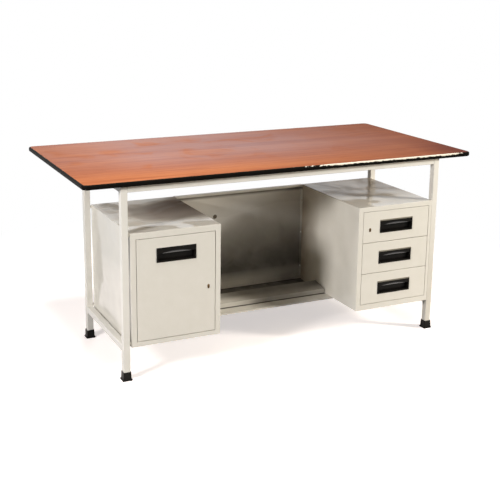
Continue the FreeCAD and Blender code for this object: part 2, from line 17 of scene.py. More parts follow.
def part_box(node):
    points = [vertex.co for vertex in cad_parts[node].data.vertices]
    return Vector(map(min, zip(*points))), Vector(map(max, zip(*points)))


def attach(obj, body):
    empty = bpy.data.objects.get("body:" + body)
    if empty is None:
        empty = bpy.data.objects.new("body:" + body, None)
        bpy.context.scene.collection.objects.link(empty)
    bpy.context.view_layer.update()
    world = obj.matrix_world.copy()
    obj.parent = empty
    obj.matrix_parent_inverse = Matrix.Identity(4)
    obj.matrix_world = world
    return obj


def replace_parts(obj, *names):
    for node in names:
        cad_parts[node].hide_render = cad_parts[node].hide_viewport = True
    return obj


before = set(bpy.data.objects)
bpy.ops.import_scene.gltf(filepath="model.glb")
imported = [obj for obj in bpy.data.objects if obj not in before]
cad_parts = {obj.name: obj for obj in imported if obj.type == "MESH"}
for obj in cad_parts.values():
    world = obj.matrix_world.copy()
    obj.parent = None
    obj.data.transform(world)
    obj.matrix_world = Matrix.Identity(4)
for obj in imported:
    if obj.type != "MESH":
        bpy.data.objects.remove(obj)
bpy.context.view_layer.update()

MM = 0.001
SMOOTH_DEG = 35.0
LOG = logging.getLogger("desk")
X, Y, Z = range(3)
# An axis, the place along it in mm where a mask is empty, and the place where it is full.
Limit = tuple[int, float, float]
# The most that a layer covers, from 0 to 1, and the limits that it lies within.
Layer = tuple[float, tuple[Limit, ...]]
Tree = bpy.types.NodeTree
Socket = bpy.types.NodeSocket


class Slot(Enum):
    """The record's material slots."""

    LAMINATE = "wood_grain_laminate"
    BOARD = "particle_board"
    EDGING = "black_edging"
    ENAMEL = "enamelled_steel"
    PLASTIC = "black_plastic"
    ZINC = "zinc_plated_steel"
    BRASS = "brass"


class Body(Enum):
    """The bodies that carry pieces made here."""

    FRAME = "frame"
    DOOR = "cupboard_door"
    TOP_DRAWER = "top_drawer"
    MIDDLE_DRAWER = "middle_drawer"
    BOTTOM_DRAWER = "bottom_drawer"


def linear(hex_colour: str) -> tuple[float, float, float, float]:
    """Returns an sRGB colour such as "#E6E1D3" as linear red, green and blue with an alpha of 1."""
    values = [int(hex_colour[i:i + 2], 16) / 255 for i in (1, 3, 5)]
    return (*[v / 12.92 if v <= 0.04045 else ((v + 0.055) / 1.055) ** 2.4 for v in values], 1.0)


def per_metre(size_mm: float) -> float:
    """Returns the texture scale at which a pattern repeats about every size_mm."""
    return 1 / (size_mm * MM)


def add_node(tree: Tree, kind: str, inputs: dict[Any, Any] | None = None,
             **settings: Any) -> bpy.types.Node:
    """Adds a node with its settings, and sets or links its inputs.

    Args:
        tree: The node tree that takes the node.
        kind: The node's type name.
        inputs: Input names or numbers, each with a value or with the output socket to link.
        **settings: Attributes of the node.

    Returns:
        The new node.
    """
    node = tree.nodes.new(kind)
    for name, value in settings.items():
        setattr(node, name, value)
    for name, value in (inputs or {}).items():
        if isinstance(value, Socket):
            tree.links.new(value, node.inputs[name])
        else:
            node.inputs[name].default_value = value
    return node


@dataclass(frozen=True)
class Finish(ABC):
    """A surface finish, which makes one material."""

    name: str
    slot: Slot

    @abstractmethod
    def paint(self, tree: Tree, shader: bpy.types.Node) -> None:
        """Adds the finish's nodes to a material's tree.

        Args:
            tree: The material's node tree.
            shader: Its principled shader.
        """

    def within(self, tree: Tree, limits: tuple[Limit, ...], most: float = 1.0) -> Socket:
        """Adds a mask that fades between limits along the desk's axes.

        Args:
            tree: The material's node tree.
            limits: The limits, whose ramps are multiplied.
            most: The mask's value where every limit is full.

        Returns:
            The mask's output.
        """
        place = add_node(tree, "ShaderNodeTexCoord").outputs["Object"]
        axes = add_node(tree, "ShaderNodeSeparateXYZ", {0: place}).outputs
        mask: Any = most
        for axis, empty_mm, full_mm in limits:
            ramp = add_node(tree, "ShaderNodeMapRange", {"Value": axes[axis], "From Min": empty_mm * MM,
                                                         "From Max": full_mm * MM})
            mask = add_node(tree, "ShaderNodeMath", {0: mask, 1: ramp.outputs["Result"]},
                            operation="MULTIPLY").outputs[0]
        return mask

    def material(self) -> bpy.types.Material:
        """Makes the finish's material on first use.

        Returns:
            The material.
        """
        made = bpy.data.materials.get(self.name)
        if made:
            return made
        made = bpy.data.materials.new(self.name)
        made.use_nodes = True
        self.paint(made.node_tree, made.node_tree.nodes["Principled BSDF"])
        return made


@dataclass(frozen=True)
class StovedEnamel(Finish):
    """Gloss enamel sprayed and stoved on sheet steel."""

    # A hard off-white skin: soft shine, a faint mottle, and reflections that bend with the sheet's waves.
    slot: Slot = Slot.ENAMEL
    colour: str = "#E2DED6"
    mottle: str = "#DAD6CC"
    mottle_mm: float = 45.0
    roughness: float = 0.2
    # The roughness of the shiniest and of the dullest patches, as a share of the usual one.
    shine_spread: tuple[float, float] = (0.8, 1.25)
    specular: float = 0.5
    wave_mm: float = 170.0
    wave_height_mm: float = 0.25
    # The real spray texture is under a millimetre, drawn coarser so that it shows.
    peel_mm: float = 2.5
    peel_height_mm: float = 0.012

    def tint(self, tree: Tree, patches: Socket) -> Socket:
        """Adds the enamel's colour, with mottle where the noise called patches is high."""
        return add_node(tree, "ShaderNodeMix", {0: patches, 6: linear(self.colour), 7: linear(self.mottle)},
                        data_type="RGBA").outputs[2]

    def paint(self, tree: Tree, shader: bpy.types.Node) -> None:
        """Adds mottle, sheet waves and spray texture.

        Args:
            tree: The material's node tree.
            shader: Its principled shader.
        """
        place = add_node(tree, "ShaderNodeTexCoord").outputs["Object"]
        patches = add_node(tree, "ShaderNodeTexNoise", {"Vector": place, "Scale": per_metre(self.mottle_mm),
                                                        "Detail": 4.0, "Roughness": 0.6})
        sleek, dull = (self.roughness * share for share in self.shine_spread)
        shine = add_node(tree, "ShaderNodeMapRange", {"Value": patches.outputs["Fac"], "To Min": sleek,
                                                      "To Max": dull})
        waves = add_node(tree, "ShaderNodeTexNoise", {"Vector": place, "Scale": per_metre(self.wave_mm),
                                                      "Detail": 1.0})
        bent = add_node(tree, "ShaderNodeBump", {"Height": waves.outputs["Fac"],
                                                 "Distance": self.wave_height_mm * MM})
        peel = add_node(tree, "ShaderNodeTexNoise", {"Vector": place, "Scale": per_metre(self.peel_mm)})
        skin = add_node(tree, "ShaderNodeBump", {"Height": peel.outputs["Fac"],
                                                 "Distance": self.peel_height_mm * MM,
                                                 "Normal": bent.outputs["Normal"]})
        tree.links.new(self.tint(tree, patches.outputs["Fac"]), shader.inputs["Base Color"])
        tree.links.new(shine.outputs["Result"], shader.inputs["Roughness"])
        tree.links.new(skin.outputs["Normal"], shader.inputs["Normal"])
        shader.inputs["Specular IOR Level"].default_value = self.specular


@dataclass(frozen=True)
class PaintedShadeEnamel(StovedEnamel):
    """The same enamel with painted shade laid on it in smears."""

    # Smears of grey-brown painted shade that dull the white, soft at their borders.
    # The colour of the painted shade.
    painted_shade: str = "#332D24"
    layers: tuple[Layer, ...] = ()
    smear_mm: float = 75.0
    # The smears' noise goes from the thinnest painted shade at the first value to the full layer at the
    # second.
    smear_from: float = 0.3
    smear_to: float = 0.7
    thinnest: float = 0.0
    # The cover that takes all shine away, or none where the painted shade leaves the shine as it is.
    dull_cover: float | None = None
    dull_roughness: float = 0.9

    def covers(self, tree: Tree) -> list[Socket]:
        """Adds the cover of each layer of painted shade, thick and thin in smears.

        Args:
            tree: The material's node tree.

        Returns:
            The covers' outputs.
        """
        place = add_node(tree, "ShaderNodeTexCoord").outputs["Object"]
        smears = add_node(tree, "ShaderNodeTexNoise", {"Vector": place, "Scale": per_metre(self.smear_mm),
                                                       "Detail": 2.0, "Distortion": 0.8})
        thick = add_node(tree, "ShaderNodeMapRange", {
            "Value": smears.outputs["Fac"], "From Min": self.smear_from, "From Max": self.smear_to,
            "To Min": self.thinnest}).outputs["Result"]
        return [add_node(tree, "ShaderNodeMath", {0: self.within(tree, limits, most), 1: thick},
                         operation="MULTIPLY").outputs[0] for most, limits in self.layers]

    def tint(self, tree: Tree, patches: Socket) -> Socket:
        """Adds the enamel's colour under the painted shade.

        Args:
            tree: The material's node tree.
            patches: A noise that says where the mottle lies.

        Returns:
            The colour's output.
        """
        colour = super().tint(tree, patches)
        for cover in self.covers(tree):
            colour = add_node(tree, "ShaderNodeMix", {0: cover, 6: colour, 7: linear(self.painted_shade)},
                              data_type="RGBA").outputs[2]
        return colour

    def paint(self, tree: Tree, shader: bpy.types.Node) -> None:
        """Adds the enamel, and roughens it under the painted shade.

        Args:
            tree: The material's node tree.
            shader: Its principled shader.
        """
        super().paint(tree, shader)
        if self.dull_cover is None:
            return
        total: Any = 0.0
        for cover in self.covers(tree):
            total = add_node(tree, "ShaderNodeMath", {0: total, 1: cover}, operation="ADD").outputs[0]
        clean = shader.inputs["Roughness"].links[0].from_socket
        dulled = add_node(tree, "ShaderNodeMapRange", {"Value": total, "From Max": self.dull_cover,
                                                       "To Min": clean, "To Max": self.dull_roughness})
        tree.links.new(dulled.outputs["Result"], shader.inputs["Roughness"])


@dataclass(frozen=True)
class WoodGrainLaminate(Finish):
    """Printed wood-grain melamine laminate, pressed to a satin face."""

    # Red-brown streaks along the desk under a greyish layer that is partly polish and partly painted sheen,
    # wiped through in smudges.
    name: str = "wood_grain_melamine_laminate"
    slot: Slot = Slot.LAMINATE
    light: str = "#AC6A43"
    middle: str = "#93502D"
    dark: str = "#85472A"
    pore: str = "#6E3820"
    # The colour of the painted shade, laid over the print.
    painted_shade_tone: str = "#551C0A"
    # Partly polish, partly painted sheen, thickest towards the rear and just left of the middle.
    polish_and_sheen: str = "#918B93"
    band_mm: tuple[float, float] = (1100.0, 90.0)
    streak_mm: tuple[float, float] = (420.0, 9.0)
    flame_mm: tuple[float, float] = (240.0, 22.0)
    # Printed pores are finer than this, drawn coarser so that they show.
    pore_mm: tuple[float, float] = (60.0, 3.0)
    flame_cover: float = 0.6
    pore_cover: float = 0.45
    polish_and_sheen_cover: float = 0.5
    polish_and_sheen_limits: tuple[Limit, ...] = ((Y, -330.0, 20.0), (X, -1000.0, -420.0), (X, 820.0, 60.0))
    # Painted shade darkens the print to the right, most of all at the front corner, and a little at the left
    # end.
    painted_shade_layers: tuple[Layer, ...] = (
        (0.6, ((X, -400.0, 900.0),)), (0.85, ((X, 620.0, 780.0), (Y, -20.0, -280.0))),
        (0.22, ((X, -560.0, -760.0), (Y, -330.0, -150.0))))
    cloud_mm: float = 260.0
    smudge_mm: float = 170.0
    roughness: float = 0.34
    film_roughness: float = 0.48
    specular: float = 0.005

    def along(self, tree: Tree, size_mm: tuple[float, float], detail: float) -> Socket:
        """Adds a noise that is drawn out along the grain.

        Args:
            tree: The material's node tree.
            size_mm: The pattern's length along X and its width along Y.
            detail: How much finer structure the noise has.

        Returns:
            The noise's output, from 0 to 1.
        """
        place = add_node(tree, "ShaderNodeTexCoord").outputs["Object"]
        length, width = (per_metre(v) for v in size_mm)
        drawn = add_node(tree, "ShaderNodeMapping", {"Vector": place, "Scale": (length, width, width)})
        return add_node(tree, "ShaderNodeTexNoise", {"Vector": drawn.outputs["Vector"], "Scale": 1.0,
                                                     "Detail": detail}).outputs["Fac"]

    def grain(self, tree: Tree) -> Socket:
        """Adds the printed wood: bands, streaks, flames and pores, with painted shade over it.

        Args:
            tree: The material's node tree.

        Returns:
            The wood's colour.
        """
        tone = add_node(tree, "ShaderNodeMath", {0: self.along(tree, self.band_mm, detail=2.0),
                                                 1: self.along(tree, self.streak_mm, detail=4.0)},
                        operation="ADD")
        spread = add_node(tree, "ShaderNodeMapRange", {"Value": tone.outputs[0], "From Min": 0.75,
                                                       "From Max": 1.25})
        wood = add_node(tree, "ShaderNodeMix", {0: spread.outputs["Result"], 6: linear(self.middle),
                                                7: linear(self.light)}, data_type="RGBA")
        for size_mm, colour, cover in ((self.flame_mm, self.dark, self.flame_cover),
                                       (self.pore_mm, self.pore, self.pore_cover)):
            marks = add_node(tree, "ShaderNodeMapRange", {"Value": self.along(tree, size_mm, detail=2.0),
                                                          "From Min": 0.56, "From Max": 0.74,
                                                          "To Max": cover})
            wood = add_node(tree, "ShaderNodeMix", {0: marks.outputs["Result"], 6: wood.outputs[2],
                                                    7: linear(colour)}, data_type="RGBA")
        for cover, limits in self.painted_shade_layers:
            wood = add_node(tree, "ShaderNodeMix", {0: self.within(tree, limits, cover), 6: wood.outputs[2],
                                                    7: linear(self.painted_shade_tone)}, data_type="RGBA")
        return wood.outputs[2]

    def polish(self, tree: Tree) -> Socket:
        """Adds the cover of the greyish layer, partly polish and partly painted sheen: cloudy, and wiped
        through in smudges.

        Args:
            tree: The material's node tree.

        Returns:
            The cover, from 0 to polish_and_sheen_cover.
        """
        place = add_node(tree, "ShaderNodeTexCoord").outputs["Object"]
        clouds = add_node(tree, "ShaderNodeTexNoise", {"Vector": place, "Scale": per_metre(self.cloud_mm),
                                                       "Detail": 3.0})
        wipes = add_node(tree, "ShaderNodeTexNoise", {"Vector": place, "Scale": per_metre(self.smudge_mm),
                                                      "Detail": 3.0, "Distortion": 0.7})
        thick = add_node(tree, "ShaderNodeMapRange", {"Value": clouds.outputs["Fac"], "From Min": 0.35,
                                                      "From Max": 0.65, "To Min": 0.7})
        kept = add_node(tree, "ShaderNodeMapRange", {"Value": wipes.outputs["Fac"], "From Min": 0.54,
                                                     "From Max": 0.68, "To Min": 1.0, "To Max": 0.42})
        cover = self.within(tree, self.polish_and_sheen_limits, self.polish_and_sheen_cover)
        for share in (thick, kept):
            cover = add_node(tree, "ShaderNodeMath", {0: cover, 1: share.outputs["Result"]},
                             operation="MULTIPLY").outputs[0]
        return cover

    def paint(self, tree: Tree, shader: bpy.types.Node) -> None:
        """Adds the wood, the greyish layer of polish and painted sheen over it, and a duller sheen where
        that layer is thick.

        Args:
            tree: The material's node tree.
            shader: Its principled shader.
        """
        cover = self.polish(tree)
        filmed = add_node(tree, "ShaderNodeMix", {0: cover, 6: self.grain(tree), 7: linear(self.polish_and_sheen)},
                          data_type="RGBA")
        shine = add_node(tree, "ShaderNodeMapRange", {"Value": cover, "From Max": self.polish_and_sheen_cover,
                                                      "To Min": self.roughness,
                                                      "To Max": self.film_roughness})
        tree.links.new(filmed.outputs[2], shader.inputs["Base Color"])
        tree.links.new(shine.outputs["Result"], shader.inputs["Roughness"])
        shader.inputs["Specular IOR Level"].default_value = self.specular


@dataclass(frozen=True)
class MouldedPlastic(Finish):
    """Black plastic, moulded or extruded with a lightly grained skin."""

    # Near black, with a soft broken highlight on its rounds.
    slot: Slot = Slot.PLASTIC
    colour: str = "#0B0A09"
    dust: str = "#171512"
    dust_mm: float = 12.0
    grain_mm: float = 1.2
    grain_height_mm: float = 0.02
    roughness: float = 0.32
    shine_spread: tuple[float, float] = (0.8, 1.3)
    specular: float = 0.22

    def tint(self, tree: Tree, patches: Socket) -> Socket:
        """Adds the plastic's colour, with dust where the noise called patches is high."""
        return add_node(tree, "ShaderNodeMix", {0: patches, 6: linear(self.colour), 7: linear(self.dust)},
                        data_type="RGBA").outputs[2]

    def paint(self, tree: Tree, shader: bpy.types.Node) -> None:
        """Adds dusty patches and moulded grain.

        Args:
            tree: The material's node tree.
            shader: Its principled shader.
        """
        place = add_node(tree, "ShaderNodeTexCoord").outputs["Object"]
        patches = add_node(tree, "ShaderNodeTexNoise", {"Vector": place, "Scale": per_metre(self.dust_mm),
                                                        "Detail": 5.0})
        grain = add_node(tree, "ShaderNodeTexNoise", {"Vector": place, "Scale": per_metre(self.grain_mm)})
        skin = add_node(tree, "ShaderNodeBump", {"Height": grain.outputs["Fac"],
                                                 "Distance": self.grain_height_mm * MM})
        sleek, dull = (self.roughness * share for share in self.shine_spread)
        shine = add_node(tree, "ShaderNodeMapRange", {"Value": patches.outputs["Fac"], "To Min": sleek,
                                                      "To Max": dull})
        tree.links.new(self.tint(tree, patches.outputs["Fac"]), shader.inputs["Base Color"])
        tree.links.new(shine.outputs["Result"], shader.inputs["Roughness"])
        tree.links.new(skin.outputs["Normal"], shader.inputs["Normal"])
        shader.inputs["Specular IOR Level"].default_value = self.specular


@dataclass(frozen=True)
class PaintedHighlightPlastic(MouldedPlastic):
    """Black plastic with a painted highlight along a strip."""

    # Dull black, with a pale strip of painted highlight whose border is ragged.
    painted_highlight: str = "#CDC7B9"
    painted_highlight_limits: tuple[Limit, ...] = ()
    fleck_mm: float = 14.0
    raggedness: float = 0.42
    border: tuple[float, float] = (0.42, 0.54)

    def tint(self, tree: Tree, patches: Socket) -> Socket:
        """Adds the black, and the pale strip of painted highlight with its flecked border.

        Args:
            tree: The material's node tree.
            patches: A noise that says where dust lies.

        Returns:
            The colour's output.
        """
        place = add_node(tree, "ShaderNodeTexCoord").outputs["Object"]
        flecks = add_node(tree, "ShaderNodeTexNoise", {"Vector": place, "Scale": per_metre(self.fleck_mm),
                                                       "Detail": 3.0})
        ragged_edge = add_node(tree, "ShaderNodeMapRange", {
            "Value": flecks.outputs["Fac"], "From Min": 0.25, "From Max": 0.75, "To Min": -self.raggedness,
            "To Max": self.raggedness})
        highlight_mask = add_node(tree, "ShaderNodeMath", {0: self.within(tree, self.painted_highlight_limits),
                                                1: ragged_edge.outputs["Result"]}, operation="ADD")
        strip = add_node(tree, "ShaderNodeMapRange", {"Value": highlight_mask.outputs[0], "From Min": self.border[0],
                                                      "From Max": self.border[1]})
        return add_node(tree, "ShaderNodeMix", {0: strip.outputs["Result"], 6: super().tint(tree, patches),
                                                7: linear(self.painted_highlight)}, data_type="RGBA").outputs[2]


@dataclass(frozen=True)
class PlatedMetal(Finish):
    """Bare or plated metal with a slightly dull, handled face."""

    # A coloured mirror, blurred, with darker tarnish in patches.
    colour: str = "#C9CACB"
    tarnish: str = "#8F9091"
    tarnish_mm: float = 6.0
    roughness: float = 0.32
    shine_spread: tuple[float, float] = (0.7, 1.4)

    def paint(self, tree: Tree, shader: bpy.types.Node) -> None:
        """Adds tarnish in patches.

        Args:
            tree: The material's node tree.
            shader: Its principled shader.
        """
        place = add_node(tree, "ShaderNodeTexCoord").outputs["Object"]
        patches = add_node(tree, "ShaderNodeTexNoise", {"Vector": place, "Scale": per_metre(self.tarnish_mm),
                                                        "Detail": 4.0})
        spread = add_node(tree, "ShaderNodeMapRange", {"Value": patches.outputs["Fac"], "From Min": 0.4,
                                                       "From Max": 0.75})
        tint = add_node(tree, "ShaderNodeMix", {0: spread.outputs["Result"], 6: linear(self.colour),
                                                7: linear(self.tarnish)}, data_type="RGBA")
        sleek, dull = (self.roughness * share for share in self.shine_spread)
        shine = add_node(tree, "ShaderNodeMapRange", {"Value": patches.outputs["Fac"], "To Min": sleek,
                                                      "To Max": dull})
        tree.links.new(tint.outputs[2], shader.inputs["Base Color"])
        tree.links.new(shine.outputs["Result"], shader.inputs["Roughness"])
        shader.inputs["Metallic"].default_value = 1.0


@dataclass(frozen=True)
class ParticleBoard(Finish):
    """Pressed wood chips under a brown backing paper."""

    # A dull brown underside, flecked with chips a few millimetres long.
    name: str = "particle_board"
    slot: Slot = Slot.BOARD
    paper: str = "#8A6B4A"
    chip: str = "#A98A63"
    chip_mm: float = 5.0
    roughness: float = 0.8

    def paint(self, tree: Tree, shader: bpy.types.Node) -> None:
        """Adds chips that show through the paper.

        Args:
            tree: The material's node tree.
            shader: Its principled shader.
        """
        place = add_node(tree, "ShaderNodeTexCoord").outputs["Object"]
        chips = add_node(tree, "ShaderNodeTexVoronoi", {"Vector": place, "Scale": per_metre(self.chip_mm)})
        tint = add_node(tree, "ShaderNodeMix", {0: chips.outputs["Distance"], 6: linear(self.chip),
                                                7: linear(self.paper)}, data_type="RGBA")
        tree.links.new(tint.outputs[2], shader.inputs["Base Color"])
        shader.inputs["Roughness"].default_value = self.roughness


# Painted shade deepens down the modesty panel's front and to its right, thins out at its foot and lies in a
# line under its lip.
PANEL_FRONT = ((Y, -50.0, -40.0), (Y, 102.0, 101.2))
MODESTY_PAINTED_SHADE = ((0.88, (*PANEL_FRONT, (Z, 500.0, 215.0), (Z, 150.0, 195.0))),
                (0.28, (*PANEL_FRONT, (X, -60.0, 200.0), (Z, 560.0, 360.0), (Z, 195.0, 240.0))),
                (0.66, (*PANEL_FRONT, (X, 40.0, 220.0), (Z, 195.0, 150.0))),
                (0.8, (*PANEL_FRONT, (Z, 528.0, 538.0), (Z, 548.0, 545.0))))
# Painted shade darkens the footrest's slope, less towards its front and its left, and its riser a little.
FOOTREST_PAINTED_SHADE = ((0.28, ((Y, -124.0, -127.0), (Z, 130.0, 133.0))),
                 (0.6, ((Y, -128.0, -84.0), (Y, -40.0, -55.0), (Z, 146.0, 148.5))),
                 (0.5, ((X, -180.0, 60.0), (Y, -40.0, -55.0), (Z, 146.0, 148.5))))
# Painted shade darkens the tray's floor in a line along the foot of the riser, and behind the footrest.
TRAY_PAINTED_SHADE = ((0.9, ((Y, -139.5, -136.5), (Y, -128.0, -131.0), (Z, 130.5, 128.5))),
             (0.92, ((Y, -60.0, -52.0), (Z, 131.0, 129.5))))
# A pedestal's top, without its sides.
PEDESTAL_TOP = (Z, 553.0, 555.0)
# Painted shade and painted reflection lie in smears on the cupboard's top, towards the rear and at its front
# left corner.
CUPBOARD_PAINTED_SHADE = ((0.67, (PEDESTAL_TOP, (Y, -310.0, -210.0), (X, -640.0, -470.0))),
                 (0.58, (PEDESTAL_TOP, (Y, -260.0, 0.0), (X, -660.0, -540.0))),
                 (0.8, (PEDESTAL_TOP, (Y, -325.0, -345.0), (X, -500.0, -560.0))))
# Painted shade lies on the drawer unit's top, deepening towards the rear, and on the rear of its side in the
# kneehole.
DRAWER_UNIT_PAINTED_SHADE = ((0.8, (PEDESTAL_TOP, (Y, -360.0, -110.0))),
                    (0.72, ((X, 312.0, 308.0), (Y, -70.0, 80.0))))
# Painted shade darkens the tubes towards the floor, and on the right.
TUBE_PAINTED_SHADE = ((0.42, ((Z, 640.0, 160.0), (X, -700.0, 600.0))),)
# Wide thin sheet has a glassy skin on deep waves.
WIDE_SHEET = {"roughness": 0.05, "wave_height_mm": 16.0}
SHEET_ENAMEL = StovedEnamel("stoved_enamel_on_wide_sheet", **WIDE_SHEET)
# The cupboard's enamel, with painted shade and reflection in smears on its top.
CUPBOARD_ENAMEL = PaintedShadeEnamel("stoved_enamel_with_painted_top_shade_and_reflection", **WIDE_SHEET, painted_shade="#54423A",
                              layers=CUPBOARD_PAINTED_SHADE, smear_mm=210.0, smear_from=0.38, smear_to=0.62,
                              thinnest=0.15, dull_cover=0.6)
# The drawer unit's enamel, with painted shade on its top and on the rear of its side.
DRAWER_UNIT_ENAMEL = PaintedShadeEnamel("stoved_enamel_with_painted_top_and_side_shade", **WIDE_SHEET, painted_shade="#664A20",
                                 layers=DRAWER_UNIT_PAINTED_SHADE, smear_mm=150.0, smear_from=0.35, smear_to=0.65,
                                 thinnest=0.65, dull_cover=3.0)
# The kneehole's enamel, with painted shade on its panel, footrest and tray.
KNEEHOLE_ENAMEL = PaintedShadeEnamel("stoved_enamel_with_painted_kneehole_shade", roughness=0.14, wave_height_mm=6.0,
                              layers=MODESTY_PAINTED_SHADE + FOOTREST_PAINTED_SHADE + TRAY_PAINTED_SHADE, thinnest=0.85,
                              dull_cover=0.9)
FRONT_ENAMEL = StovedEnamel("stoved_enamel_on_folded_fronts")
# The tubes' enamel, with painted shade towards the floor and on the right.
TUBE_ENAMEL = PaintedShadeEnamel("stoved_enamel_on_square_tube", colour="#E8E5DF", mottle="#E1DED6", wave_mm=60.0,
                          wave_height_mm=0.06, painted_shade="#A3957C", layers=TUBE_PAINTED_SHADE, smear_mm=160.0,
                          thinnest=0.6)
LAMINATE = WoodGrainLaminate()
BOARD = ParticleBoard()
# A painted highlight lies along the upper half of the front edge, on its right-hand side.
EDGING = PaintedHighlightPlastic("extruded_pvc_edging", Slot.EDGING, roughness=0.36, specular=0.015,
                       painted_highlight_limits=((X, -90.0, 300.0), (X, 812.0, 730.0), (Y, -388.0, -391.0),
                                      (Z, 741.0, 748.0)))
CUP_PLASTIC = MouldedPlastic("moulded_abs_handle_cup", specular=0.08)
LIP_PLASTIC = MouldedPlastic("polished_abs_finger_lip", colour="#131210", dust="#1B1916", roughness=0.2,
                             specular=1.0)
SHOE_PLASTIC = MouldedPlastic("moulded_pvc_shoe", roughness=0.4, specular=0.1)
PLUG_PLASTIC = MouldedPlastic("moulded_polythene_plug", colour="#5B5347", dust="#6E6557", roughness=0.5)
ZINC = PlatedMetal("zinc_plated_steel", Slot.ZINC)
BRASS = PlatedMetal("pressed_brass", Slot.BRASS, colour="#6E5532", tarnish="#2F2213", roughness=0.5)


def dress(nodes: Iterable[str], finish: Finish) -> None:
    """Gives CAD nodes a finish.

    Args:
        nodes: The nodes' names.
        finish: The finish that they share.
    """
    for name in nodes:
        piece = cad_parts[name]
        piece.data.materials.clear()
        piece.data.materials.append(finish.material())
        for face in piece.data.polygons:
            face.material_index = 0
        LOG.info("%s: %s", name, finish.name)


def add_piece(name: str, made: bmesh.types.BMesh, finish: Finish, body: Body) -> bpy.types.Object:
    """Turns a finished mesh to a piece that rides on a body.

    Args:
        name: The piece's name.
        made: Its mesh, in the desk's frame, which is freed.
        finish: Its finish.
        body: The body that it moves with.

    Returns:
        The piece.
    """
    bmesh.ops.recalc_face_normals(made, faces=made.faces)
    mesh = bpy.data.meshes.new(name)
    made.to_mesh(mesh)
    made.free()
    mesh.shade_smooth()
    mesh.set_sharp_from_angle(angle=math.radians(SMOOTH_DEG))
    mesh.materials.append(finish.material())
    piece = bpy.data.objects.new(name, mesh)
    bpy.context.scene.collection.objects.link(piece)
    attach(piece, body.value)
    LOG.info("%s: %s on %s", name, finish.name, body.value)
    return piece


def longest(low: Vector, high: Vector) -> int:
    """Returns the axis along which a box is longest."""
    return max((X, Y, Z), key=lambda axis: high[axis] - low[axis])


def spokes(count: int) -> list[float]:
    """Returns the angles of points spaced evenly round a ring."""
    return [math.tau * i / count for i in range(count)]


def add_rings(made: bmesh.types.BMesh, rings: Iterable[Iterable[Vector]],
              capped: bool = False) -> list[list[bmesh.types.BMVert]]:
    """Adds a skin through closed rings of points.

    Args:
        made: The mesh that takes the skin.
        rings: Rings with the same number of points, in order.
        capped: Whether the first and the last ring are filled.

    Returns:
        The rings' corners.
    """
    corners = [[made.verts.new(point) for point in ring] for ring in rings]
    for low, high in zip(corners, corners[1:]):
        for i in range(len(low)):
            j = (i + 1) % len(low)
            made.faces.new((low[i], low[j], high[j], high[i]))
    if capped:
        made.faces.new(corners[0])
        made.faces.new(corners[-1])
    return corners


